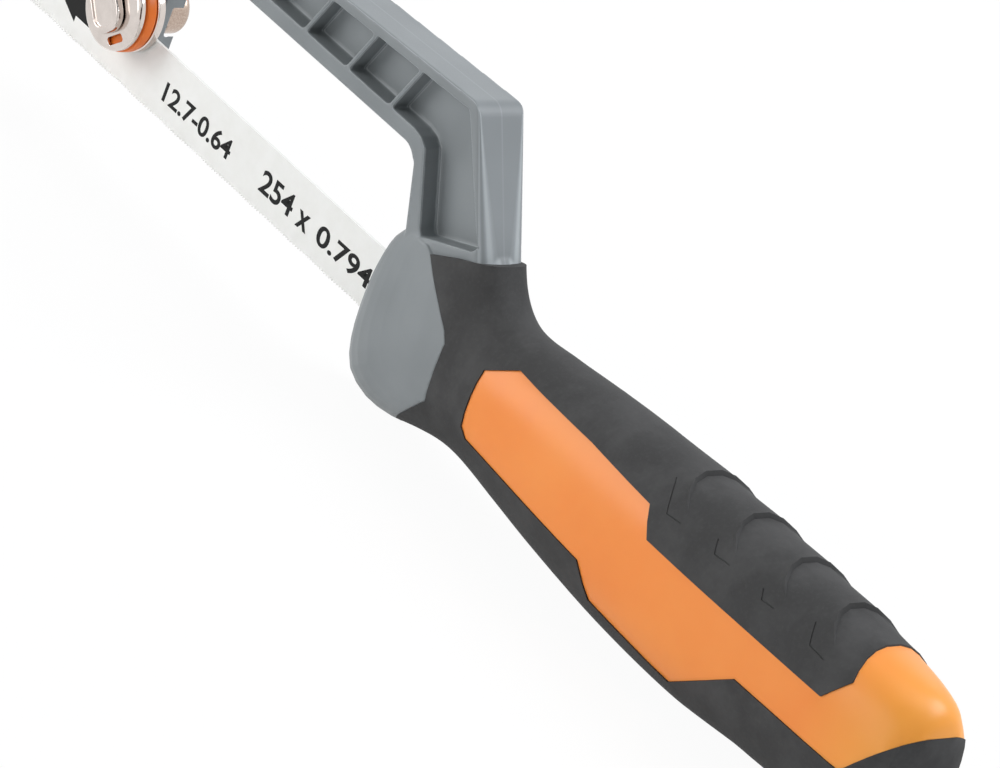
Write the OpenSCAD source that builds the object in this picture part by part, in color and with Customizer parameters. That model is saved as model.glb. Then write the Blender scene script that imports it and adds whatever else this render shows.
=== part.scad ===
// Close-quarters hacksaw: ribbed half frame, in-line soft-grip handle, sliding blade
// and a hand clamp with a fold-down wing.
// +X runs along the blade to the heel of the handle, +Z is the back of the frame.
// The origin is the centre of the blade's front hole.

/* [Blade] */
// Distance between the two end holes of the blade
hole_spacing = 254; // [250:1:258]
// Height of the blade, back edge to tooth tips
blade_w = 12.7; // [11.5:0.1:13.5]
// Thickness of the blade
blade_t = 0.64; // [0.5:0.02:0.8]
// Diameter of the end holes
hole_d = 4; // [3:0.1:5]
// Steel beyond the centre of each end hole
hole_margin = 5.5; // [4:0.1:7]
// Height of the hard tooth strip welded to the back
strip_h = 2.4; // [1.8:0.1:3.2]
// Tooth pitch (32 teeth to the inch)
tooth_pitch = 0.79375; // [0.79375:0.1:1.5875]
// Depth of a tooth gullet
tooth_depth = 0.55; // [0.3:0.05:0.7]
// Sideways throw of the wavy set
set_throw = 0.14; // [0.05:0.01:0.2]
// Length of one wave of the set
set_wave = 12.7; // [8:0.1:16]

/* [Frame] */
// Front hole of the blade to the clamp axis
overhang = 37.5; // [30:0.5:45]
// Clamp axis to the inner face of the column
throat_l = 87; // [80:0.5:95]
// Blade centre line to the lower edge of the arm
throat_h = 29.4; // [27:0.1:32]
// Thickness of the frame
frame_t = 11; // [10:0.1:12]
// Depth of the arm at the column
arm_depth = 15.6; // [14:0.1:17]
// Drop of the arm's top edge between the column and the foot
arm_drop = 4.4; // [2:0.1:6]
// Thickness of the upper and rear flanges
flange_t = 2.1; // [1.6:0.1:2.8]
// Thickness of the lower and front flanges
lower_flange_t = 3.2; // [2.4:0.1:4]
// Thickness of the web between the pockets
web_t = 2.4; // [1.8:0.1:3.2]
// Thickness of a rib
rib_t = 0.9; // [0.8:0.1:1.6]
// Distance between ribs along the arm
rib_pitch = 13.7; // [11:0.1:16]
// Lean of the ribs towards the handle
rib_lean = 24; // [15:1:30]
// Length of the foot along the blade
foot_l = 14.4; // [13:0.1:16]
// Reach of the jaw below the blade's back edge
jaw_reach = 8; // [5:0.1:9]

/* [Handle] */
// Height of the grip at its fullest
grip_h = 36.5; // [34:0.1:40]
// Width of the grip at its fullest
grip_w = 27.2; // [25:0.1:30]
// Length from the column to the heel
handle_l = 159; // [150:1:170]
// Thickness of the soft grip over the core
skin_t = 2.2; // [1.6:0.1:2.6]
// Number of raised scales on the palm side
scales = 4; // [2:1:5]
// Length of one scale
scale_l = 13.5; // [12:0.1:14]
// Height of a scale at its step
scale_h = 0.9; // [0.5:0.1:1.2]

/* [Clamp] */
// Diameter of the clamp bolt
bolt_d = 5; // [4.5:0.1:6]
// Diameter of the bolt head
head_d = 10; // [9:0.1:11]
// Height of the bolt head
head_h = 6; // [4:0.1:7]
// Diameter of the clamp washer
washer_d = 17.2; // [16:0.1:19]
// Thickness of the clamp washer
washer_t = 1.8; // [1:0.1:2.2]
// Diameter of the knob body
knob_d = 17.2; // [16:0.1:18.5]
// Height of the knob body
knob_h = 3.8; // [3.4:0.1:5]
// Sheet thickness of the knob's cap
cap_t = 0.6; // [0.4:0.1:0.8]
// Width of the fold-down wing
wing_w = 8.6; // [7.5:0.1:9.5]
// Length of the wing from its pin to its tip
wing_l = 9.5; // [8.5:0.1:10]
// Turn of the knob's face from upright
wing_turn = 42; // [0:1:90]

/* [Clearances] */
// Gap on each side of the blade in its slot
slot_gap = 0.33; // [0.2:0.01:0.5]
// Gap on each side of the blade in the clamp
clamp_gap = 0.15; // [0.1:0.01:0.3]
// Radial clearance of turning and sliding fits
fit_gap = 0.08; // [0.03:0.01:0.1]
// Gap between flat faces that turn on each other
face_gap = 0.1; // [0.05:0.01:0.2]
// Gap between parts moulded or pressed together
seam = 0.05; // [0.02:0.01:0.1]

/* [Hidden] */
$fn = 64;
grey = [0.55, 0.58, 0.59];
orange = [0.93, 0.50, 0.18];
rubber = [0.17, 0.17, 0.175];
paint = [0.92, 0.92, 0.90];
steel = [0.62, 0.63, 0.65];
chrome = [0.82, 0.81, 0.82];
brass = [0.78, 0.62, 0.30];

// ---- derived places ----
back_z = blade_w / 2;
blade_x0 = -hole_margin;
blade_x1 = hole_spacing + hole_margin;
clamp_x = overhang;
clamp_z = back_z + bolt_d / 2 + 0.3;
column_x = clamp_x + throat_l;
half_t = frame_t / 2;
arm_z0 = throat_h;
arm_z1 = throat_h + arm_depth;
corner_x = column_x + 0.725 * arm_depth;
foot_x1 = clamp_x + foot_l * 0.41;
foot_x0 = foot_x1 - foot_l;
jaw_y = blade_t / 2 + clamp_gap;
jaw_z = back_z - jaw_reach;
slot_h = blade_w + 2 * slot_gap;
slot_w = blade_t + 2 * slot_gap;
arm_slope = arm_drop / (corner_x - foot_x0);
col_lean = 0.38;
column_lean = 0.62;

// Side-view outline of the handle, one row per rib of the loft:
// [lower x, lower z, upper x, upper z, half width, roundness], x from the column's inner face.
ribs = [
    [3.6, 15.8, 27.4, 22.2, 6.0, 3.6], [0.7, 12.1, 29.3, 20.1, 6.4, 3.2],
    [-0.8, 7.7, 30.9, 18.4, 7.0, 2.8], [-1.7, 2.0, 33.0, 16.7, 7.8, 2.5],
    [-1.6, -4.5, 35.2, 15.4, 8.5, 2.4], [-0.8, -10.8, 37.8, 14.7, 9.1, 2.3],
    [2.0, -15.9, 40.8, 14.6, 9.6, 2.3], [8.7, -18.0, 43.9, 14.9, 10, 2.3],
    [16.5, -17.2, 47.3, 15.2, 10.4, 2.3], [25.1, -14.8, 51.1, 15.4, 10.8, 2.3],
    [33.5, -13.2, 55.4, 15.8, 11.2, 2.3], [42, -13.9, 59.8, 16.2, 11.7, 2.3],
    [51.5, -15.2, 65, 16.7, 12.2, 2.3], [63, -16.7, 72, 17.2, 12.8, 2.3],
    [77, -18.1, 82, 17.6, 13.3, 2.3], [94, -18.8, 95, 17.7, 13.6, 2.3],
    [108, -18.7, 108, 17.7, 13.5, 2.3], [124, -17.1, 124, 17.4, 12.9, 2.3],
    [136, -16.8, 136, 17, 12.5, 2.3], [148, -17.4, 147.5, 16.4, 12, 2.3],
    [155.6, -17.4, 154.9, 15.3, 10.5, 2.2], [158, -15.6, 157.9, 12, 7.8, 2.1],
    [158.8, -10.5, 158.1, 7.5, 4.7, 2.0], [159, -5.5, 158.4, 2.5, 2.0, 2.0]
];
last_row = len(ribs) - 1;
heel_row = last_row - 2;
neck_row = 12;
neck_l = ribs[neck_row][0];
fullest = ribs[15];
k_high = grip_h / (fullest[3] - fullest[1]);
k_wide = grip_w / (2 * fullest[4]);
k_len = (handle_l - neck_l * k_high) / (ribs[last_row][0] - neck_l);
function hx(u) = column_x + k_high * min(u, neck_l) + k_len * max(u - neck_l, 0);
function place(r) = [hx(r[0]), r[1] * k_high, hx(r[2]), r[3] * k_high, r[4] * k_wide, r[5]];
rows = [for (r = ribs) place(r)];

function row_at(i) = rows[max(0, min(last_row, i))];
// Smooth curve through the rows: the row at place t, where whole numbers are the rows.
function spline(a, b, c, d, t) =
    b + 0.5 * t * (c - a + t * (2 * a - 5 * b + 4 * c - d + t * (3 * (b - c) + d - a)));
function loft_row(t) =
    let (i = min(last_row - 1, floor(t)))
    spline(row_at(i - 1), row_at(i), row_at(i + 1), row_at(i + 2), t - i);
function power(v, n) = sign(v) * pow(abs(v), 2 / n);
// Point of a row at angle th, drawn in by inset.
function loft_point(r, th, inset) =
    let (lower = [r[0], r[1]], upper = [r[2], r[3]],
         mid = (lower + upper) / 2, long = norm(upper - lower), dir = (upper - lower) / long,
         out = (long / 2 - inset) * power(sin(th), r[5]))
    [mid[0] + dir[0] * out, (r[4] - inset) * power(cos(th), r[5]), mid[1] + dir[1] * out];

// Closed mesh over n + 1 rings of points with the same number of sides.
module ring_mesh(n, sides, points) {
    polyhedron(points, concat(
        [[for (j = [0:sides - 1]) j]],
        [[for (j = [sides - 1:-1:0]) n * sides + j]],
        [for (i = [0:n - 1], j = [0:sides - 1])
            let (k = (j + 1) % sides)
            [i * sides + j, (i + 1) * sides + j, (i + 1) * sides + k, i * sides + k]]));
}

// Closed loft between places t0 and t1 of the rows, drawn in by inset.
module body(inset = 0, t0 = 0, t1 = last_row, steps = 2, sides = 32) {
    n = ceil((t1 - t0) * steps);
    ring_mesh(n, sides, [for (i = [0:n], j = [0:sides - 1])
        loft_point(loft_row(t0 + (t1 - t0) * i / n), 360 * (j + 0.5) / sides, inset)]);
}

// Extrudes a side-view outline from y0 to y1.
module slab(y0, y1) {
    translate([0, y1, 0]) rotate([90, 0, 0]) linear_extrude(y1 - y0) children();
}

// Corner arc of radius r about a centre, from angle a0 to a1.
function arc(x, z, r, a0, a1, n = 10) =
    [for (i = [0:n]) let (a = a0 + (a1 - a0) * i / n) [x + r * cos(a), z + r * sin(a)]];

function region(points) = [for (p = points) [hx(p[0]), p[1] * k_high]];
nose_edge = [
    [13.7, 15.8], [16.7, 13.5], [25.8, 7.4], [27.6, 5.6], [29.4, -5.3], [23.9, -11.1], [20.3, -14.5], [14, -24]
];
nose_crease = [[-20, 13], [4.7, 15.6], [9, 16.3], [12, 16.6]];
nose_region = region(concat(nose_edge, [[-20, -24]], nose_crease));
collar_top = region([
    [-20, 3], [13.7, 15.8], [20.1, 18.8], [23.2, 20], [40, 26], [40, 60], [-20, 60]
]);
window = region([
    [40.2, -3.6], [39, 7.3], [45.7, 11.4], [70, 11.9], [88.4, 11.3], [92.4, 6.6], [140, 6.5], [143.4, 11.4],
    [142.3, 13.7], [141.2, 15.8], [140.4, 17.5], [140.4, 26], [171, 26], [157.7, 8.9], [150.5, -0.8],
    [149.3, -1.9], [122.3, -2], [107.3, -12.9], [83.8, -11.7], [79.3, -6.2], [42, -5.2]
]);

// ---- handle ----
core_x0 = hx(max([for (p = nose_edge) p[0]]) + 0.5);
tang_x0 = hx(18);
tang_x1 = hx(108);
tang_h = 19;
tang_w = 8.8;
blade_back_off = 12;
window_depth = 0.3;

module tang(gap = 0) {
    translate([tang_x0, -tang_w / 2 - gap, -tang_h / 2 - gap])
        cube([tang_x1 - tang_x0 + gap, tang_w + 2 * gap, tang_h + 2 * gap]);
}

module blade_slot(x0, x1) {
    translate([x0, -slot_w / 2, -slot_h / 2]) cube([x1 - x0, slot_w, slot_h]);
}

module handle_core() color(orange) difference() {
    union() {
        intersection() {
            body(window_depth, 7.5);
            slab(-grip_w, grip_w) offset(delta = -seam) polygon(window);
        }
        intersection() {
            body(skin_t + seam, 0, heel_row, 1);
            translate([core_x0, -grip_w, -grip_h]) cube([handle_l, 2 * grip_w, 2 * grip_h]);
        }
    }
    tang(seam);
    blade_slot(tang_x1 - 1, blade_x1 + blade_back_off + 1);
}

// Place along the rows whose upper edge lies at x.
upper_places = [for (i = [0:last_row * 4]) [loft_row(i / 4)[2], i / 4]];
scale_x0 = hx(76.5);
scale_x1 = scale_x0 + scales * scale_l;
scale_half_angle = 40;
scale_bow = 5.8;
step_l = 0.6;
climb = [[0, 0], [0.35, 0.3], [0.7, 0.75], [0.88, 1], [1, 0.9]];

// Rows of the grip's outer skin: [upper edge x, height on the scale, share of the bow].
// A scale climbs towards the heel and ends in a bowed step down to the next one.
grip_rows = concat(
    [for (t = [0:0.5:13]) [loft_row(t)[2], 0, 0]],
    [for (i = [0:scales - 1], c = climb) [scale_x0 + scale_l * i + (scale_l - step_l) * c[0], c[1], 1]],
    [[scale_x1, 0, 1]],
    [for (t = [18.25:0.75:last_row]) [loft_row(t)[2], 0, 0]]);

function grip_point(row, th) =
    let (turn = min(1, abs((th + 90) % 360 - 180) / scale_half_angle),
         t = lookup(row[0] + scale_bow * turn * turn * row[2], upper_places))
    loft_point(loft_row(t), th, -scale_h * row[1] * (1 - turn * turn));

module grip_skin(sides = 32) {
    n = len(grip_rows) - 1;
    ring_mesh(n, sides, [for (row = grip_rows, j = [0:sides - 1])
        grip_point(row, 360 * (j + 0.5) / sides)]);
}

module soft_grip() color(rubber) difference() {
    grip_skin();
    body(skin_t, 0, heel_row, 1);
    slab(-grip_w, grip_w) polygon(window);
    slab(-grip_w, grip_w) polygon(nose_region);
    slab(-grip_w, grip_w) polygon(collar_top);
    column(seam);
}

// ---- frame ----
function arm_top(x) = arm_z1 - (corner_x - x) * arm_slope;
function col_front(z) = column_x + (throat_h - 1.6 - z) * col_lean;
bend_r = 4.6;
bend_x = col_front(throat_h);
bend_cut = bend_r * tan((90 - atan(col_lean)) / 2);
foot_top = clamp_z + washer_d / 2 + 1.9;
head_y = 3;
head_cut_r = head_d / 2 + 1.6;
front_r = 8;
corner_r = 1.4;
pocket_x0 = foot_x1 + 4;
pocket_z0 = arm_z0 + lower_flange_t;
column_top_z = arm_z1 - corner_r;
column_foot_z = 0.4 * grip_h;
lid_h = 0.2;
front_chamfer = 0.8;

module arm_outline() {
    polygon(concat(
        [[foot_x0, foot_top], [foot_x1, foot_top], [foot_x1, arm_z0 - 3]],
        [[foot_x1 + 3, arm_z0], [bend_x - bend_cut, arm_z0]],
        [[bend_x + 3, arm_z0 + 0.5], [corner_x - 1, arm_z0 + 4]],
        arc(corner_x - corner_r, arm_z1 - corner_r, corner_r, 0, 90, 5),
        arc(foot_x0 + front_r, arm_top(foot_x0 + front_r) - front_r, front_r, 90, 180)));
}

module bend_outline() {
    difference() {
        polygon([[bend_x - bend_cut, arm_z0 + 0.5], [bend_x - bend_cut, arm_z0],
                 [bend_x + bend_cut, arm_z0 - bend_cut], [bend_x + 6, arm_z0 + 0.5]]);
        translate([bend_x - bend_cut, arm_z0 - bend_r]) circle(bend_r);
    }
}

// Level slice of the column at height z. Its rear edges open into an oval crown lower down.
module column_slice(z, gap) {
    drop = column_top_z - z;
    share = drop / (column_top_z - column_foot_z);
    crown = corner_x + drop * column_lean + gap;
    depth = 0.3 + 2.3 * share;
    half = half_t + gap;
    side_r = half * (0.06 + 0.94 * share);
    front = col_front(z) - gap - 0.5 * share;
    oval = arc(0, 0, 1, 0, 90, 5);
    translate([0, 0, z]) linear_extrude(lid_h) polygon(concat(
        [[front + front_chamfer, half], [front, half - front_chamfer]],
        [[front, front_chamfer - half], [front + front_chamfer, -half]],
        [for (i = [5:-1:0]) [crown - depth + depth * oval[i][0], side_r - half - side_r * oval[i][1]]],
        [for (p = oval) [crown - depth + depth * p[0], half - side_r + side_r * p[1]]]));
}

module column(gap = 0) {
    hull() {
        column_slice(column_top_z - lid_h, gap);
        column_slice(column_foot_z - gap, gap);
    }
}

module pocket_outline() {
    polygon(concat(
        [[pocket_x0, pocket_z0], [column_x - 2.6, pocket_z0], [column_x, pocket_z0 - 0.5]],
        [[column_x + 1.9, pocket_z0 - 1.8]],
        region([[8, 17.6], [9, 16.7], [22, 21.4], [22.9, 22.6]]),
        [[corner_x - flange_t, arm_top(corner_x) - flange_t - 0.6]],
        [[corner_x - flange_t - 0.7, arm_top(corner_x) - flange_t]],
        [[pocket_x0, arm_top(pocket_x0) - flange_t]]));
}

rib_count = floor((column_x - 10 - pocket_x0) / rib_pitch) + 1;
module rib_outlines() {
    for (i = [0:rib_count - 1])
        translate([column_x - 10.4 - i * rib_pitch, pocket_z0 - 0.2])
            rotate(-rib_lean) translate([-rib_t / 2, -0.6])
                square([rib_t, arm_depth / cos(rib_lean) - lower_flange_t - 0.2]);
}

module pocket_side() {
    difference() {
        slab(web_t / 2, half_t + 1) pocket_outline();
        slab(web_t / 2 - 1, half_t - 0.2) rib_outlines();
    }
}

module foot() {
    slab(jaw_y, half_t) polygon([[foot_x0, jaw_z + 2], [foot_x0 + 2, jaw_z], [foot_x1 - 2, jaw_z],
                                 [foot_x1, jaw_z + 2], [foot_x1, foot_top + 1], [foot_x0, foot_top + 1]]);
}

module at_clamp() {
    translate([clamp_x, 0, clamp_z]) rotate([90, 0, 0]) children();
}

module frame() color(grey) difference() {
    union() {
        slab(-half_t, half_t) arm_outline();
        slab(-half_t, half_t) bend_outline();
        column();
        foot();
        intersection() {
            body(0, 0, neck_row);
            slab(-grip_w, grip_w) polygon(nose_region);
        }
        intersection() {
            body(skin_t + seam, 0, neck_row, 1);
            translate([column_x - 5, -grip_w, -grip_h])
                cube([core_x0 - seam - column_x + 5, 2 * grip_w, 2 * grip_h]);
        }
        tang();
    }
    pocket_side();
    mirror([0, 1, 0]) pocket_side();
    blade_slot(column_x - 10, tang_x1 + 1);
    at_clamp() {
        translate([-bolt_d / 2 - seam, -bolt_d / 2 - seam, -head_y - 1])
            cube([bolt_d + 2 * seam, bolt_d + 2 * seam, head_y + 1]);
        translate([0, 0, -half_t - 1]) cylinder(h = half_t + 1 - head_y, r = head_cut_r);
    }
}

// ---- blade ----
module blade_back() color(paint) slab(-blade_t / 2, blade_t / 2) difference() {
    translate([blade_x0 + 2, -back_z + strip_h])
        square([blade_x1 - blade_x0 - 4, blade_w - strip_h]);
    circle(d = hole_d);
    translate([hole_spacing, 0]) circle(d = hole_d);
}

tooth_count = floor((blade_x1 - blade_x0 - 8) / tooth_pitch);
teeth_x0 = blade_x0 + 4;

// Sideways throw of tooth i in the wavy set.
function throw(i) = set_throw * sin(360 * i * tooth_pitch / set_wave);

// Hard strip with a wavy set: each tooth leans a little further than the last.
module blade_teeth() color(steel) {
    n = tooth_count;
    top = strip_h - back_z;
    root = tooth_depth - back_z;
    points = concat(
        [for (i = [0:n], s = [-1, 1]) [teeth_x0 + i * tooth_pitch, s * blade_t / 2, top]],
        [for (i = [0:n], s = [-1, 1]) [teeth_x0 + i * tooth_pitch, s * blade_t / 2 + throw(i) * 0.6, root]],
        [for (i = [0:n - 1], s = [-1, 1])
            [teeth_x0 + (i + 0.25) * tooth_pitch, s * blade_t / 2 + throw(i), -back_z]]);
    r = 2 * (n + 1);
    t = 4 * (n + 1);
    faces = concat(
        [[0, 1, r + 1, r]],
        [[2 * n, r + 2 * n, r + 2 * n + 1, 2 * n + 1]],
        [for (i = [0:n - 1]) [2 * i, 2 * i + 2, 2 * i + 3, 2 * i + 1]],
        [for (i = [0:n - 1]) each [
            [2 * i, r + 2 * i, t + 2 * i], [2 * i, t + 2 * i, 2 * i + 2],
            [2 * i + 2, t + 2 * i, r + 2 * i + 2],
            [2 * i + 1, t + 2 * i + 1, r + 2 * i + 1], [2 * i + 1, 2 * i + 3, t + 2 * i + 1],
            [2 * i + 3, r + 2 * i + 3, t + 2 * i + 1],
            [r + 2 * i, r + 2 * i + 1, t + 2 * i + 1, t + 2 * i],
            [t + 2 * i, t + 2 * i + 1, r + 2 * i + 3, r + 2 * i + 2]]]);
    polyhedron(points, faces);
}

// ---- clamp, drawn with +z pointing out of the knob's face ----
washer_z = blade_t / 2 + clamp_gap;
knob_z = washer_z + washer_t + face_gap;
knob_r = knob_d / 2;
knob_top = knob_z + knob_h;
insert_z = knob_z + 0.6;
insert_h = knob_h - 1.6;
insert_af = bolt_d + 3;
bolt_end = knob_top - 0.5;
cap_r = knob_r - 0.2;
cap_skirt = 0.9;
cap_top = knob_top + cap_t + 0.5;
lip_r = 1;

module clamp_bolt() color(chrome) at_clamp() {
    translate([0, 0, -jaw_y]) cylinder(h = bolt_end + jaw_y, d = bolt_d);
    translate([-bolt_d / 2, -bolt_d / 2, -head_y]) cube([bolt_d, bolt_d, head_y - jaw_y]);
    translate([0, 0, -head_y - seam]) mirror([0, 0, 1]) rotate_extrude()
        polygon(concat([[0, -seam], [head_d / 2, -seam]],
            arc(head_d / 2 - 1.4, head_h - 1.6, 1.4, 0, 60, 6), [[0, head_h]]));
}

module clamp_washer() color(chrome) at_clamp() translate([0, 0, washer_z])
    rotate_extrude() polygon([[bolt_d / 2 + fit_gap, 0], [washer_d / 2 - 0.2, 0], [washer_d / 2, 0.2],
        [washer_d / 2, washer_t - 0.2], [washer_d / 2 - 0.2, washer_t], [bolt_d / 2 + fit_gap, washer_t]]);

module hex(af, h) {
    cylinder(h = h, r = af / sqrt(3), $fn = 6);
}

module knob_body() color(orange) at_clamp() difference() {
    translate([0, 0, knob_z]) rotate_extrude()
        polygon([[bolt_d / 2 + 0.4, 0], [knob_r - 0.5, 0], [knob_r, 0.5], [knob_r, knob_h - 1.5],
            [cap_r - cap_t - seam, knob_h - 1.2], [cap_r - cap_t - seam, knob_h], [bolt_d / 2 + 0.4, knob_h]]);
    translate([0, 0, insert_z - seam]) hex(insert_af + 2 * seam, insert_h + 2 * seam);
}

module knob_insert() color(brass) at_clamp() difference() {
    translate([0, 0, insert_z]) hex(insert_af, insert_h);
    translate([0, 0, insert_z - 1]) cylinder(h = insert_h + 2, r = bolt_d / 2 + fit_gap);
}

pin_r = 0.55;
knuckle_r = 1.15;
tip_y = 5.1;
pin_y = wing_l - tip_y;
pin_z = cap_top + knuckle_r + 0.2;
lug_w = 1.3;
lug_gap = 0.2;
slit_y = tip_y + 1.25;
slit_l = 4.3;
slit_w = 1.55;

module on_face() {
    at_clamp() rotate([0, 0, wing_turn]) children();
}

module rounded_slot(l, w, r) {
    x = l / 2 - r;
    y = w / 2 - r;
    polygon(concat(arc(x, y, r, 0, 90, 4), arc(-x, y, r, 90, 180, 4),
                   arc(-x, -y, r, 180, 270, 4), arc(x, -y, r, 270, 360, 4)));
}

module knob_cap() color(chrome) difference() {
    union() {
        at_clamp() rotate_extrude() polygon(concat(
            [[cap_r - cap_t, knob_top - cap_skirt], [cap_r, knob_top - cap_skirt]],
            arc(cap_r - lip_r, cap_top - 0.3 - lip_r, lip_r, 0, 75, 6), [[cap_r - 2.2, cap_top], [0, cap_top]],
            [[0, cap_top - cap_t], [cap_r - 2, cap_top - cap_t], [cap_r - cap_t, knob_top + seam]]));
        on_face() for (s = [-1, 1])
            translate([s * (wing_w / 2 + lug_gap + lug_w / 2), pin_y, cap_top - 0.2]) {
                translate([-lug_w / 2, -knuckle_r, 0]) cube([lug_w, 2 * knuckle_r, pin_z - cap_top + 0.2]);
                translate([-lug_w / 2, 0, pin_z - cap_top + 0.2]) rotate([0, 90, 0])
                    cylinder(h = lug_w, r = knuckle_r);
            }
    }
    on_face() {
        translate([0, -slit_y, cap_top - 2]) linear_extrude(3) rounded_slot(slit_l, slit_w, 0.5);
        translate([-wing_w, pin_y, pin_z]) rotate([0, 90, 0]) cylinder(h = 2 * wing_w, r = pin_r + 0.02);
    }
}

module wing_pin() color(steel) on_face()
    translate([-wing_w / 2 - lug_gap - lug_w, pin_y, pin_z]) rotate([0, 90, 0])
        cylinder(h = wing_w + 2 * lug_gap + 2 * lug_w, r = pin_r);

wing_t = 1;
wing_tip_r = 3.6;
rim_w = 1.3;
rim_h = 0.6;

module wing_outline(inset = 0) {
    w = wing_w / 2 - inset;
    r = wing_tip_r - inset;
    tip = pin_y - wing_l + inset;
    polygon(concat([[w, pin_y - inset], [-w, pin_y - inset]],
        arc(-w + r, tip + r, r, 180, 270, 6), arc(w - r, tip + r, r, 270, 360, 6)));
}

module knob_wing() color(chrome) on_face() difference() {
    union() {
        translate([0, 0, pin_z - knuckle_r + 0.15]) linear_extrude(wing_t) wing_outline();
        translate([0, 0, pin_z - knuckle_r + 0.15]) linear_extrude(wing_t + rim_h) difference() {
            wing_outline();
            wing_outline(rim_w);
        }
        translate([-wing_w / 2, pin_y, pin_z]) rotate([0, 90, 0]) cylinder(h = wing_w, r = knuckle_r);
    }
    translate([-wing_w, pin_y, pin_z]) rotate([0, 90, 0]) cylinder(h = 2 * wing_w, r = pin_r + fit_gap);
}

frame();
handle_core();
soft_grip();
blade_back();
blade_teeth();
clamp_bolt();
clamp_washer();
knob_body();
knob_insert();
knob_cap();
knob_wing();
wing_pin();
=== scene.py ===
import math

import bpy
import bmesh
from mathutils import Matrix, Vector

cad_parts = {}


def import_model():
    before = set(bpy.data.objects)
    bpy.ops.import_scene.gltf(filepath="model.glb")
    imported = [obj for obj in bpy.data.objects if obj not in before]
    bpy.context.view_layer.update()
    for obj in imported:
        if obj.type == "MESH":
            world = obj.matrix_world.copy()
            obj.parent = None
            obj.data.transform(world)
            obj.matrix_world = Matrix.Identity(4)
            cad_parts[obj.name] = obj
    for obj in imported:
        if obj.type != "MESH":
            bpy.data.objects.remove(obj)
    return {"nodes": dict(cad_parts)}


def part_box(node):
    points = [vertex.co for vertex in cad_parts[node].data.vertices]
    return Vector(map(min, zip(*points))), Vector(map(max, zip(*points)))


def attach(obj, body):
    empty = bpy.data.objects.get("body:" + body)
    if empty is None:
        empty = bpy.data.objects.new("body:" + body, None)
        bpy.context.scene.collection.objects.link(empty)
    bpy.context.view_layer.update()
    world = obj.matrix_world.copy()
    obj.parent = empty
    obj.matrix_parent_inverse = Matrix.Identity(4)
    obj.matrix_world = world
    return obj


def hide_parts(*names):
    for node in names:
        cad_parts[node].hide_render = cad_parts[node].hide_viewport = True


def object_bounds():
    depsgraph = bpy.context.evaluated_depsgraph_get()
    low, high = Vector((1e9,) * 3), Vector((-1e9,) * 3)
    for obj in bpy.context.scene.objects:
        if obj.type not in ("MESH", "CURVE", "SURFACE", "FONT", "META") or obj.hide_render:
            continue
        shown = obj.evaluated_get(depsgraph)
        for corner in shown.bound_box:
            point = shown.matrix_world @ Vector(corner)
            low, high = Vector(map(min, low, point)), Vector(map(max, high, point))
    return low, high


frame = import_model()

nodes = frame["nodes"]
cad_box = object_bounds()
MM = 0.001
bpy.context.scene.view_settings.view_transform = "Standard"


# ---- small helpers ----
def deselect_all():
    """Leaves nothing selected and no mesh in edit mode."""
    if bpy.context.object and bpy.context.object.mode != "OBJECT":
        bpy.ops.object.mode_set(mode="OBJECT")
    bpy.ops.object.select_all(action="DESELECT")


def make_active(piece):
    deselect_all()
    piece.select_set(True)
    bpy.context.view_layer.objects.active = piece


def apply_modifier(piece, kind, **settings):
    """Adds a modifier, sets it and applies it to the piece's mesh."""
    make_active(piece)
    modifier = piece.modifiers.new(kind.title(), kind)
    for name, value in settings.items():
        setattr(modifier, name, value)
    bpy.ops.object.modifier_apply(modifier=modifier.name)


def copy_of(node, name):
    """A copy of a CAD node's mesh as a new piece, its loose triangles merged."""
    piece = bpy.data.objects.new(name, nodes[node].data.copy())
    bpy.context.scene.collection.objects.link(piece)
    piece.data.materials.clear()
    make_active(piece)
    bpy.ops.object.mode_set(mode="EDIT")
    bpy.ops.mesh.select_all(action="SELECT")
    bpy.ops.mesh.remove_doubles(threshold=0.004 * MM)
    bpy.ops.mesh.normals_make_consistent(inside=False)
    bpy.ops.object.mode_set(mode="OBJECT")
    bpy.ops.mesh.customdata_custom_splitnormals_clear()
    return piece


def smooth(piece, angle):
    """Shades a piece smooth, but for edges sharper than angle degrees."""
    make_active(piece)
    bpy.ops.object.shade_smooth_by_angle(angle=math.radians(angle))


def sharp_edges(mesh, angle):
    """Edges of a bmesh where its faces turn by more than angle degrees."""
    limit = math.radians(angle)
    return [edge for edge in mesh.edges if len(edge.link_faces) == 2 and edge.calc_face_angle() > limit]


EDGE_SEGMENTS = 3
EDGE_ANGLE = 35


def round_edges(piece, width):
    """Rounds the edges sharper than EDGE_ANGLE degrees, width in mm."""
    make_active(piece)
    bpy.ops.object.mode_set(mode="EDIT")
    bpy.ops.mesh.select_all(action="SELECT")
    bpy.ops.mesh.dissolve_limited(angle_limit=math.radians(0.4))
    bpy.ops.object.mode_set(mode="OBJECT")
    mesh = bmesh.new()
    mesh.from_mesh(piece.data)
    weight = mesh.edges.layers.float.new("bevel_weight_edge")
    for edge in sharp_edges(mesh, EDGE_ANGLE):
        edge[weight] = 1
    mesh.to_mesh(piece.data)
    mesh.free()
    apply_modifier(piece, "BEVEL", width=width * MM, segments=EDGE_SEGMENTS, limit_method="WEIGHT",
                   use_clamp_overlap=False, loop_slide=True, miter_outer="MITER_ARC")


EASE_ROUNDS = 6
EASE_ANGLE = 28


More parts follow.
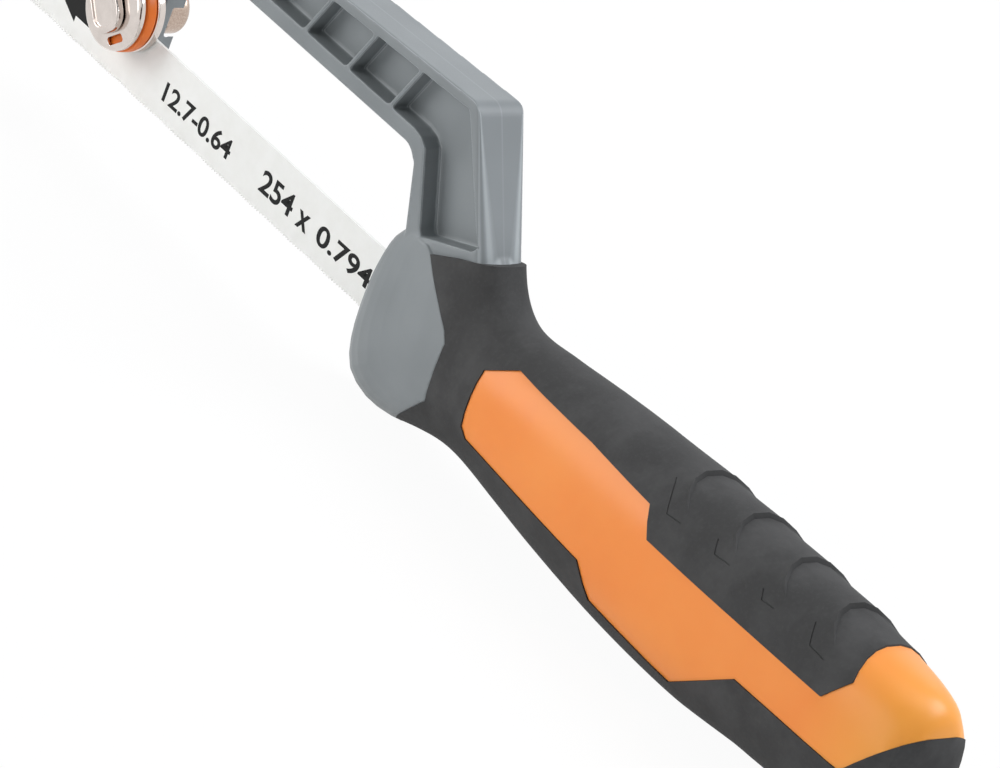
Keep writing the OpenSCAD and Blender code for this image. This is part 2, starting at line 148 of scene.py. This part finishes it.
def ease(piece):
    """Evens out a faceted skin: finer faces, smoothed but for edges sharper than EASE_ANGLE degrees."""
    make_active(piece)
    bpy.ops.object.mode_set(mode="EDIT")
    bpy.ops.mesh.select_all(action="SELECT")
    bpy.ops.mesh.dissolve_limited(angle_limit=math.radians(0.3))
    bpy.ops.mesh.quads_convert_to_tris(quad_method="BEAUTY", ngon_method="BEAUTY")
    bpy.ops.mesh.beautify_fill(angle_limit=math.radians(2))
    bpy.ops.mesh.subdivide(number_cuts=1)
    bpy.ops.mesh.select_mode(type="VERT")
    bpy.ops.mesh.select_all(action="DESELECT")
    mesh = bmesh.from_edit_mesh(piece.data)
    held = {vert for edge in sharp_edges(mesh, EASE_ANGLE) for vert in edge.verts}
    for vert in mesh.verts:
        vert.select_set(vert not in held)
    mesh.select_flush(True)
    for vert in held:
        vert.select_set(False)
    bmesh.update_edit_mesh(piece.data)
    bpy.ops.mesh.vertices_smooth(factor=0.5, repeat=EASE_ROUNDS)
    bpy.ops.object.mode_set(mode="OBJECT")


def dress(piece, material, body, slot, *replaced):
    """Gives a finished piece its material and its body, and hides the CAD nodes it stands for; slot is not
    used.
    """
    piece.data.materials.clear()
    piece.data.materials.append(material)
    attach(piece, body)
    if replaced:
        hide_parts(*replaced)


# ---- materials ----
class Number:
    """A socket that takes part in arithmetic: each operator adds the Math node that does it."""

    def __init__(self, paint, socket):
        self.paint = paint
        self.socket = socket

    def __add__(self, other):
        return self.paint.math("ADD", self, other)

    def __sub__(self, other):
        return self.paint.math("SUBTRACT", self, other)

    def __rsub__(self, other):
        return self.paint.math("SUBTRACT", other, self)

    def __mul__(self, other):
        return self.paint.math("MULTIPLY", self, other)

    def __abs__(self):
        return self.paint.math("ABSOLUTE", self)

    __radd__ = __add__
    __rmul__ = __mul__


class Paint:
    """A material with a Principled shader, and a short way to add nodes to it."""

    def __init__(self, name, **sockets):
        self.material = bpy.data.materials.new(name)
        self.material.use_nodes = True
        self.tree = self.material.node_tree
        self.shader = self.tree.nodes["Principled BSDF"]
        self.set(self.shader, sockets)
        self.place = self.node("ShaderNodeTexCoord", out="Object")

    def set(self, node, sockets):
        """Sets or links sockets: _2 is the third input, Base_Color the one named Base Color."""
        for name, value in sockets.items():
            by_number = name[0] == "_" and name[1:].isdigit()
            socket = node.inputs[int(name[1:]) if by_number else name.replace("_", " ")]
            if isinstance(value, Number):
                self.tree.links.new(value.socket, socket)
            else:
                socket.default_value = value

    def node(self, kind, settings=None, out=0, **sockets):
        """Adds a node: its settings first, then the values or links of its sockets."""
        node = self.tree.nodes.new(kind)
        for name, value in (settings or {}).items():
            setattr(node, name, value)
        self.set(node, sockets)
        return Number(self, node.outputs[out])

    def math(self, operation, a, b=0.0):
        return self.node("ShaderNodeMath", {"operation": operation}, _0=a, _1=b)

    def split(self, vector, axis):
        return self.node("ShaderNodeSeparateXYZ", out=axis, Vector=vector)

    def noise(self, scale, detail, roughness):
        """Noise with about scale grains to the metre."""
        return self.node("ShaderNodeTexNoise", Vector=self.place, Scale=scale, Detail=detail,
                         Roughness=roughness)

    def grey_ramp(self, value, low, high, start=0.0, end=1.0):
        """Maps value from start..end to low..high, as a number."""
        return self.node("ShaderNodeMapRange", _0=value, _1=start, _2=end, _3=low, _4=high)

    def mix(self, factor, a, b):
        return self.node("ShaderNodeMix", {"data_type": "RGBA"}, out=2, _0=factor, _6=a, _7=b)

    def bump(self, height, distance, strength):
        return self.node("ShaderNodeBump", Height=height, Distance=distance, Strength=strength)

    def finish(self, **links):
        self.set(self.shader, links)
        return self.material


def srgb(r, g, b):
    """Linear colour of an sRGB colour given in 0 to 255."""
    def linear(v):
        v /= 255
        return v / 12.92 if v <= 0.04045 else ((v + 0.055) / 1.055) ** 2.4
    return (linear(r), linear(g), linear(b), 1)


# Sideways part of the normal where the moulding gets a painted highlight:
# on its rounded edges, and along the creases at the back of the column.
EDGE_FACING = 0.7
CREASE_FACING = 0.22
SEAM_HALF = 0.0001


def moulded_grey():
    """Satin grey moulding: a fine grain, a painted highlight on its rounded edges and back creases, and a
    faint parting line.
    """
    p = Paint("moulded_grey", IOR=1.46, Specular_IOR_Level=0.3)
    grain = p.noise(5200, 3, 0.6)
    blotch = p.noise(60, 2, 0.5)
    colour = p.mix(p.grey_ramp(blotch, 0, 1, 0.35, 0.65), srgb(121, 126, 128), srgb(129, 134, 136))
    normal = p.node("ShaderNodeNewGeometry", out="Normal")
    facing = abs(p.split(normal, "Y"))
    facing_back = p.grey_ramp(p.split(normal, "X"), 0, 0.8, 0.5, 0.7)
    above_grip = p.grey_ramp(p.split(p.place, "Z"), 0, 1, 0.015, 0.019)
    # Painted highlight: rounded edges and the column's back creases are mixed towards a light grey, as if
    # they caught the light.
    painted_edge_highlight = p.grey_ramp(abs(facing - EDGE_FACING), 0.5, 0, 0.04, 0.2)
    painted_crease_highlight = p.grey_ramp(abs(facing - CREASE_FACING), 0.8, 0, 0.03, 0.18) * facing_back
    colour = p.mix((painted_edge_highlight + painted_crease_highlight) * above_grip, colour, srgb(178, 184, 186))
    seam = p.grey_ramp(abs(p.split(p.place, "Y")), 1, 0, SEAM_HALF, 2.2 * SEAM_HALF)
    off_flank = p.grey_ramp(facing, 0.7, 0, 0.2, 0.4)
    colour = p.mix(seam * off_flank, colour, srgb(136, 141, 143))
    return p.finish(Base_Color=colour, Roughness=p.grey_ramp(grain, 0.38, 0.50, 0.3, 0.7),
                    Normal=p.bump(grain, 0.00002, 0.35))


def orange_plastic(name, dark, light, heel=None):
    """Semi-gloss orange plastic with a little depth, blending into the heel colour towards the heel where
    one is given.
    """
    p = Paint(name, IOR=1.5, Specular_IOR_Level=0.3, Subsurface_Weight=0.08,
              Subsurface_Radius=(0.6, 0.3, 0.1), Subsurface_Scale=0.002)
    flow = p.noise(45, 3, 0.55)
    orange_peel = p.noise(900, 2, 0.5)
    colour = p.mix(p.grey_ramp(flow, 0, 1, 0.3, 0.7), srgb(*dark), srgb(*light))
    if heel:
        towards_end = p.grey_ramp(p.split(p.place, "X"), 0, 1, 0.262, 0.279)
        colour = p.mix(towards_end, colour, srgb(*heel))
    return p.finish(Base_Color=colour, Roughness=p.grey_ramp(flow, 0.30, 0.40, 0.3, 0.7),
                    Normal=p.bump(orange_peel, 0.00003, 0.25))


def grip_rubber():
    """Soft dark rubber: a fine matte grain, faint rub marks, and painted shade on the step of each scale.
    """
    p = Paint("grip_rubber", IOR=1.45, Specular_IOR_Level=0.16)
    grain = p.noise(6500, 3, 0.65)
    speckle = p.noise(1500, 3, 0.7)
    rubbed = p.noise(85, 4, 0.6)
    colour = p.mix(p.grey_ramp(rubbed, 0, 1, 0.42, 0.68), srgb(60, 60, 60), srgb(74, 74, 74))
    colour = p.mix(p.grey_ramp(speckle, 0, 0.2, 0.5, 0.75), colour, srgb(84, 84, 84))
    on_scales = p.grey_ramp(p.split(p.place, "Z"), 0, 1, 0.006, 0.009)
    before_heel = p.grey_ramp(p.split(p.place, "X"), 1, 0, 0.263, 0.265)
    behind_neck = p.grey_ramp(p.split(p.place, "X"), 0, 1, 0.200, 0.203)
    normal = p.node("ShaderNodeNewGeometry", out="Normal")
    # Painted shade: the step wall of each scale, facing the heel, is darkened as if it lay in shade.
    painted_step_shade = p.grey_ramp(p.split(normal, "X"), 0, 0.3, 0.5, 0.75)
    colour = p.mix(painted_step_shade * on_scales * before_heel * behind_neck, colour, srgb(18, 18, 18))
    return p.finish(Base_Color=colour, Roughness=p.grey_ramp(rubbed, 0.68, 0.80, 0.3, 0.7),
                    Normal=p.bump(grain + speckle * 0.7, 0.00004, 0.5))


def blade_paint():
    """Off-white enamel on thin steel."""
    p = Paint("blade_paint", IOR=1.5)
    speck = p.noise(220, 3, 0.6)
    peel = p.noise(1600, 2, 0.5)
    colour = p.mix(p.grey_ramp(speck, 0, 1, 0.35, 0.65), srgb(228, 228, 224), srgb(232, 232, 229))
    return p.finish(Base_Color=colour, Roughness=p.grey_ramp(speck, 0.34, 0.44, 0.3, 0.7),
                    Normal=p.bump(peel, 0.00001, 0.3))


def print_ink():
    """Flat black ink, printed a little unevenly."""
    p = Paint("print_ink", Specular_IOR_Level=0.2)
    patch = p.noise(1400, 2, 0.5)
    colour = p.mix(p.grey_ramp(patch, 0, 1, 0.35, 0.65), srgb(16, 16, 16), srgb(26, 26, 26))
    return p.finish(Base_Color=colour, Roughness=p.grey_ramp(patch, 0.55, 0.7, 0.3, 0.7))


def bright_plate(name, tint=(219, 210, 204), rough=0.13):
    """Bright nickel-chrome plate over pressed steel."""
    p = Paint(name, Metallic=1.0)
    haze = p.noise(380, 3, 0.5)
    ripple = p.noise(150, 2, 0.5)
    colour = p.mix(p.grey_ramp(haze, 0, 1, 0.35, 0.65), srgb(*tint), srgb(*[v - 8 for v in tint]))
    return p.finish(Base_Color=colour, Roughness=p.grey_ramp(haze, rough * 0.8, rough * 1.3, 0.3, 0.7),
                    Normal=p.bump(ripple, 0.00004, 0.3))


def turned_metal(name, colour_a, colour_b, rough):
    """Plain turned or drawn metal with faint tool lines."""
    p = Paint(name, Metallic=1.0)
    lines = p.noise(2400, 2, 0.5)
    colour = p.mix(p.grey_ramp(lines, 0, 1, 0.35, 0.65), srgb(*colour_a), srgb(*colour_b))
    return p.finish(Base_Color=colour, Roughness=p.grey_ramp(lines, rough * 0.8, rough * 1.2, 0.3, 0.7),
                    Normal=p.bump(lines, 0.00001, 0.3))


GREY = moulded_grey()
ORANGE = orange_plastic("core_orange", (233, 135, 60), (236, 144, 68), (234, 155, 66))
KNOB_ORANGE = orange_plastic("knob_orange", (230, 112, 36), (238, 122, 44))
RUBBER = grip_rubber()
ENAMEL = blade_paint()
INK = print_ink()
CHROME = bright_plate("bright_chrome")
BOLT_PLATE = turned_metal("bolt_plate", (196, 178, 165), (178, 158, 144), 0.24)
BRASS = turned_metal("insert_brass", (205, 170, 100), (190, 155, 88), 0.3)
PIN_STEEL = turned_metal("pin_steel", (190, 190, 192), (170, 170, 173), 0.3)


# ---- the handle and the frame ----
# The frame's tang is hidden in the handle beyond HIDDEN_X, in metres, and is left off there.
HIDDEN_X = 0.158
# Grain of the frame's remeshing and radius of its apex, in mm.
GRAIN = 0.28
APEX_R = 3.6
MELT_ROUNDS = 5
MOST_TRIANGLES = 180000
# A dip up to this deep, in mm, is filled where the apex is rounded.
DIP = 0.9
# round_apex casts rays on the arm's top at ARM_XS and on the column's back at COLUMN_ZS,
# RAY_Y off the middle plane, and takes the moulding's width above ARM_Z. All in metres.
ARM_XS = (0.08, 0.11)
COLUMN_ZS = (0.022, 0.029)
RAY_Y = 0.0005
ARM_Z = 0.03
# Width of the strip along each flank where no dip is filled, in mm.
FLANK_STRIP = 0.4


def cut_off(piece, x):
    """Cuts a piece square across at x and keeps the side towards the tip, closed."""
    make_active(piece)
    bpy.ops.object.mode_set(mode="EDIT")
    bpy.ops.mesh.select_all(action="SELECT")
    bpy.ops.mesh.bisect(plane_co=(x, 0, 0), plane_no=(1, 0, 0), use_fill=True, clear_outer=True)
    bpy.ops.object.mode_set(mode="OBJECT")


def round_apex(piece, radius):
    """Rounds the corner between the arm's top and the column's back, found by rays on each."""
    make_active(piece)

    def hit(origin, way):
        _, place, _, _ = piece.ray_cast(Vector(origin), Vector(way))
        return Vector((place.x, place.z))

    top = [hit((x, RAY_Y, 0.1), (0, 0, -1)) for x in ARM_XS]
    back = [hit((0.3, RAY_Y, z), (-1, 0, 0)) for z in COLUMN_ZS]
    along_top = (top[1] - top[0]).normalized()
    up_back = (back[1] - back[0]).normalized()
    top_out = Vector((-along_top.y, along_top.x))
    back_out = Vector((up_back.y, -up_back.x))
    level, rear = top_out.dot(top[0]) - radius, back_out.dot(back[0]) - radius
    across = top_out.x * back_out.y - top_out.y * back_out.x
    centre = Vector(((level * back_out.y - rear * top_out.y) / across,
                     (rear * top_out.x - level * back_out.x) / across))
    flank = max(vert.co.y for vert in piece.data.vertices if vert.co.z > ARM_Z) - FLANK_STRIP * MM
    for vert in piece.data.vertices:
        arm = Vector((vert.co.x, vert.co.z)) - centre
        inner = radius - DIP * MM if abs(vert.co.y) < flank else radius
        if arm.length > inner and arm.dot(along_top) > 0 and arm.dot(up_back) > 0:
            arm *= radius / arm.length
            vert.co.x, vert.co.z = centre + arm


def melt(piece):
    """Remeshes a piece and smooths it, which rounds every edge a little, as moulding does."""
    apply_modifier(piece, "REMESH", mode="VOXEL", voxel_size=GRAIN * MM, use_smooth_shade=True)
    round_apex(piece, APEX_R * MM)
    apply_modifier(piece, "SMOOTH", factor=0.5, iterations=MELT_ROUNDS)
    triangles = sum(len(face.vertices) - 2 for face in piece.data.polygons)
    if triangles > MOST_TRIANGLES:
        apply_modifier(piece, "DECIMATE", ratio=MOST_TRIANGLES / triangles)


def frame_moulding():
    piece = copy_of("frame", "frame_moulding")
    cut_off(piece, HIDDEN_X)
    melt(piece)
    smooth(piece, 60)
    dress(piece, GREY, "saw_frame", "frame_grey", "frame")


def handle_moulding():
    piece = copy_of("handle_core", "handle_moulding")
    ease(piece)
    smooth(piece, 30)
    dress(piece, ORANGE, "saw_frame", "core_orange", "handle_core")


# Corners of the four hooked mould marks on each side of the grip, in mm.
HOOKS = [
    [(212.4, -6.7, 16.3), (213.8, -8, 15.3), (215.5, -9.5, 13.6), (216.9, -10.7, 12), (220.5, -10.5, 12.3)],
    [(228.4, -9, 14.2), (230.1, -10.4, 12.3), (234, -10.2, 12.6)],
    [(242.2, -9.4, 13.3), (243.5, -10.3, 11.9), (246.5, -10.1, 12.1)],
    [(254.3, -7.9, 14.5), (256.8, -10.1, 11.6), (260.8, -10.1, 11.3)],
]
MARK_R = 0.15
MARK_STEP = 0.8


def mark_cutter(piece, corners, side):
    """A thin tube along the corners, laid on the piece's skin."""
    data = bpy.data.curves.new("mark_cutter", "CURVE")
    data.dimensions, data.use_fill_caps = "3D", True
    data.bevel_depth, data.bevel_resolution = MARK_R * MM, 1
    points = []
    for a, b in zip(corners, corners[1:]):
        a, b = Vector(a), Vector(b)
        steps = max(2, round((b - a).length / MARK_STEP))
        points += [a.lerp(b, i / steps) for i in range(steps)]
    points.append(Vector(corners[-1]))
    line = data.splines.new("POLY")
    line.points.add(len(points) - 1)
    for point, place in zip(line.points, points):
        place = Vector((place.x, place.y * side, place.z)) * MM
        _, skin, _, _ = piece.closest_point_on_mesh(place)
        point.co = (*skin, 1)
    cutter = bpy.data.objects.new("mark_cutter", data)
    bpy.context.scene.collection.objects.link(cutter)
    make_active(cutter)
    bpy.ops.object.convert(target="MESH")
    return cutter


def cut_away(piece, cutter):
    apply_modifier(piece, "BOOLEAN", operation="DIFFERENCE", object=cutter, solver="EXACT")
    bpy.data.objects.remove(cutter)


def rubber_moulding():
    piece = copy_of("soft_grip", "rubber_moulding")
    ease(piece)
    for corners in HOOKS:
        for side in (1, -1):
            cut_away(piece, mark_cutter(piece, corners, side))
    smooth(piece, 30)
    dress(piece, RUBBER, "saw_frame", "grip_rubber", "soft_grip")


# ---- the clamp ----
def clamp_part(node, name, body, width, material=CHROME, slot="bright_chrome"):
    """A clamp part with its corners rounded by width mm, as stamping and plating leave them."""
    piece = copy_of(node, name)
    round_edges(piece, width)
    smooth(piece, 40)
    dress(piece, material, body, slot, node)


# ---- the print on the blade ----
PRINT_LIFT = 0.012
BLADE_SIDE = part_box("blade_back")[0].y
ARROW = [(14.9, 0.3), (21.8, -3.1), (21.8, -1.8), (30, -1.8), (30, 2.4), (21.8, 2.4), (21.8, 3.7)]
# Each print's name and words, and the box x0, x1, z0, z1 that it fills, in mm.
WORDS = [
    ("print_section", "12.7-0.64", 52.2, 74.8, -2.7, 1.4),
    ("print_length", "254", 85, 95.5, -2.7, 1.9),
    ("print_times", "x", 97.3, 100.9, -2.8, 0.6),
    ("print_pitch", "0.794", 103.7, 121, -2.7, 1.4),
]


def print_words(name, words, x0, x1, z0, z1):
    """Thin raised print on the blade's near side that fills x0..x1 by z0..z1, in mm."""
    bpy.ops.object.text_add(location=(0, 0, 0))
    piece = bpy.context.object
    piece.name = name
    piece.data.body = words
    piece.data.offset = 0.021
    piece.data.extrude = 0.5
    bpy.ops.object.convert(target="MESH")
    stamp(piece, x0, x1, z0, z1)


def print_arrow():
    """Arrow that points to the front of the blade, on its near side."""
    data = bpy.data.curves.new("print_arrow", "CURVE")
    data.dimensions, data.fill_mode, data.extrude = "2D", "BOTH", 0.5
    line = data.splines.new("POLY")
    line.points.add(len(ARROW) - 1)
    for point, (x, z) in zip(line.points, ARROW):
        point.co = (x, z, 0, 1)
    line.use_cyclic_u = True
    piece = bpy.data.objects.new("print_arrow", data)
    bpy.context.scene.collection.objects.link(piece)
    make_active(piece)
    bpy.ops.object.convert(target="MESH")
    xs, zs = zip(*ARROW)
    stamp(piece, min(xs), max(xs), min(zs), max(zs))


def stamp(piece, x0, x1, z0, z1):
    """Fits a flat mesh in x0..x1 by z0..z1 on the blade and gives it the ink."""
    xs = [vert.co.x for vert in piece.data.vertices]
    ys = [vert.co.y for vert in piece.data.vertices]
    kx = (x1 - x0) / (max(xs) - min(xs))
    ky = (z1 - z0) / (max(ys) - min(ys))
    for vert in piece.data.vertices:
        x = x0 + (vert.co.x - min(xs)) * kx
        z = z0 + (vert.co.y - min(ys)) * ky
        y = BLADE_SIDE - (PRINT_LIFT * MM if vert.co.z > 0 else 0)
        vert.co = (x * MM, y, z * MM)
    dress(piece, INK, "blade", "blade_paint")


def paint_nodes(material, *names):
    """Gives CAD nodes that keep their own mesh a material and smooth shading."""
    for name in names:
        nodes[name].data.materials.clear()
        nodes[name].data.materials.append(material)
        make_active(nodes[name])
        bpy.ops.object.shade_smooth_by_angle(angle=math.radians(30))


frame_moulding()
handle_moulding()
rubber_moulding()
clamp_part("knob_cap", "cap_pressing", "knob", 0.12)
clamp_part("knob_wing", "wing_pressing", "wing", 0.16)
clamp_part("clamp_washer", "washer_disc", "washer", 0.1)
clamp_part("clamp_bolt", "bolt_turning", "saw_frame", 0.15, BOLT_PLATE)
clamp_part("knob_body", "knob_moulding", "knob", 0.15, KNOB_ORANGE, "knob_orange")
print_arrow()
for row in WORDS:
    print_words(*row)
paint_nodes(ENAMEL, "blade_back", "blade_teeth")
paint_nodes(BRASS, "knob_insert")
paint_nodes(PIN_STEEL, "wing_pin")


# ---- camera, floor and light ----
AIM = Vector((0.1599, 0, 0.0018))
DISTANCE = 1.1603
AZIMUTH, ELEVATION, ROLL = 42.61, 24.38, 21.9
LENS = 233.9


def camera():
    """A long lens that looks at AIM from beyond the handle's end, from one side and above, rolled."""
    data = bpy.data.cameras.new("camera")
    data.lens, data.sensor_width = LENS, 36
    data.clip_start, data.clip_end = 0.05, 20
    cam = bpy.data.objects.new("camera", data)
    bpy.context.scene.collection.objects.link(cam)
    a, e = math.radians(AZIMUTH), math.radians(ELEVATION)
    back = Vector((math.sin(a) * math.cos(e), -math.cos(a) * math.cos(e), math.sin(e)))
    level = back.to_track_quat("Z", "Y").to_matrix().to_4x4()
    roll = Matrix.Rotation(math.radians(ROLL), 4, "Z")
    cam.matrix_world = Matrix.Translation(AIM + back * DISTANCE) @ level @ roll
    bpy.context.scene.camera = cam


def light_path_mix(tree, camera_shader, other_shader, output, strength=1.0):
    """Mixes in camera_shader for what the camera sees straight, in a mirror or through glass."""
    path = tree.nodes.new("ShaderNodeLightPath")
    seen = path.outputs["Is Camera Ray"]
    for name in ("Is Glossy Ray", "Is Transmission Ray"):
        add = tree.nodes.new("ShaderNodeMath")
        add.operation = "MAXIMUM"
        tree.links.new(seen, add.inputs[0])
        tree.links.new(path.outputs[name], add.inputs[1])
        seen = add.outputs[0]
    scale = tree.nodes.new("ShaderNodeMath")
    scale.operation = "MULTIPLY"
    scale.inputs[1].default_value = strength
    tree.links.new(seen, scale.inputs[0])
    mix = tree.nodes.new("ShaderNodeMixShader")
    tree.links.new(scale.outputs[0], mix.inputs[0])
    tree.links.new(other_shader.outputs[0], mix.inputs[1])
    tree.links.new(camera_shader.outputs[0], mix.inputs[2])
    tree.links.new(mix.outputs[0], output.inputs["Surface"])


def world():
    """White to the camera and in reflections, and a weak cool fill for everything else."""
    w = bpy.data.worlds.new("studio")
    bpy.context.scene.world = w
    w.use_nodes = True
    tree = w.node_tree
    tree.nodes.clear()
    white = tree.nodes.new("ShaderNodeBackground")
    white.inputs["Color"].default_value = (1, 1, 1, 1)
    white.inputs["Strength"].default_value = 1.0
    fill = tree.nodes.new("ShaderNodeBackground")
    fill.inputs["Color"].default_value = (0.95, 0.97, 1, 1)
    fill.inputs["Strength"].default_value = 0.08
    output = tree.nodes.new("ShaderNodeOutputWorld")
    light_path_mix(tree, white, fill, output)


FLOOR_GAP = 0.0005
FLOOR_GLOW = 0.95


def floor():
    """A white floor just under the saw, which glows to the camera but for the saw's faint shadow."""
    bpy.ops.mesh.primitive_plane_add(size=6, location=(AIM.x, 0, cad_box[0].z - FLOOR_GAP))
    plane = bpy.context.object
    plane.name = "floor"
    material = bpy.data.materials.new("floor_white")
    material.use_nodes = True
    tree = material.node_tree
    shader = tree.nodes["Principled BSDF"]
    shader.inputs["Base Color"].default_value = (0.9, 0.9, 0.9, 1)
    shader.inputs["Roughness"].default_value = 1.0
    shader.inputs["Specular IOR Level"].default_value = 0.0
    glow = tree.nodes.new("ShaderNodeEmission")
    glow.inputs["Strength"].default_value = 1.0
    light_path_mix(tree, glow, shader, tree.nodes["Material Output"], FLOOR_GLOW)
    plane.data.materials.append(material)


WHITE = (1, 1, 1)
COOL = (0.95, 0.965, 1)
LAMP_SIZE = 0.8
# Each lamp's name, its place from AIM in metres, its power in watts and its colour.
LAMPS = [
    ("front_left", (-0.75, -0.8, 0.35), 7.1, WHITE),
    ("front", (0, -1.1, 0.35), 3.1, WHITE),
    ("top", (0.05, 0, 1.15), 3.0, COOL),
    ("high_back", (0.41, 0.57, 0.92), 14.0, COOL),
    ("back_left", (-0.69, 0.8, 0.46), 1.2, COOL),
]


def area_light(name, place, power, colour):
    """A round lamp turned to AIM."""
    data = bpy.data.lights.new(name, "AREA")
    data.shape, data.size, data.energy, data.color = "DISK", LAMP_SIZE, power, colour
    lamp = bpy.data.objects.new(name, data)
    bpy.context.scene.collection.objects.link(lamp)
    lamp.location = AIM + Vector(place)
    lamp.rotation_euler = Vector(place).to_track_quat("Z", "Y").to_euler()


BOARD_DISTANCE = 1.5


def card(name, direction, size, colour):
    """A board far beside the set that only polished metal and gloss reflect."""
    bpy.ops.mesh.primitive_plane_add(size=size, location=(0, 0, 0))
    board = bpy.context.object
    board.name = name
    away = Vector(direction).normalized()
    turn = away.to_track_quat("Z", "Y").to_matrix().to_4x4()
    board.data.transform(Matrix.Translation(AIM + away * BOARD_DISTANCE) @ turn)
    material = bpy.data.materials.new(name)
    material.use_nodes = True
    tree = material.node_tree
    tree.nodes.clear()
    glow = tree.nodes.new("ShaderNodeEmission")
    glow.inputs["Color"].default_value = colour
    output = tree.nodes.new("ShaderNodeOutputMaterial")
    tree.links.new(glow.outputs[0], output.inputs["Surface"])
    board.data.materials.append(material)
    board.visible_camera = board.visible_diffuse = board.visible_shadow = board.visible_transmission = False


camera()
world()
floor()
card("dark_above", (0.1, -0.62, 0.78), 0.7, (0.03, 0.02, 0.02, 1))
card("maroon_right", (0.97, -0.1, 0.2), 1.0, (0.07, 0.018, 0.014, 1))
for row in LAMPS:
    area_light(*row)
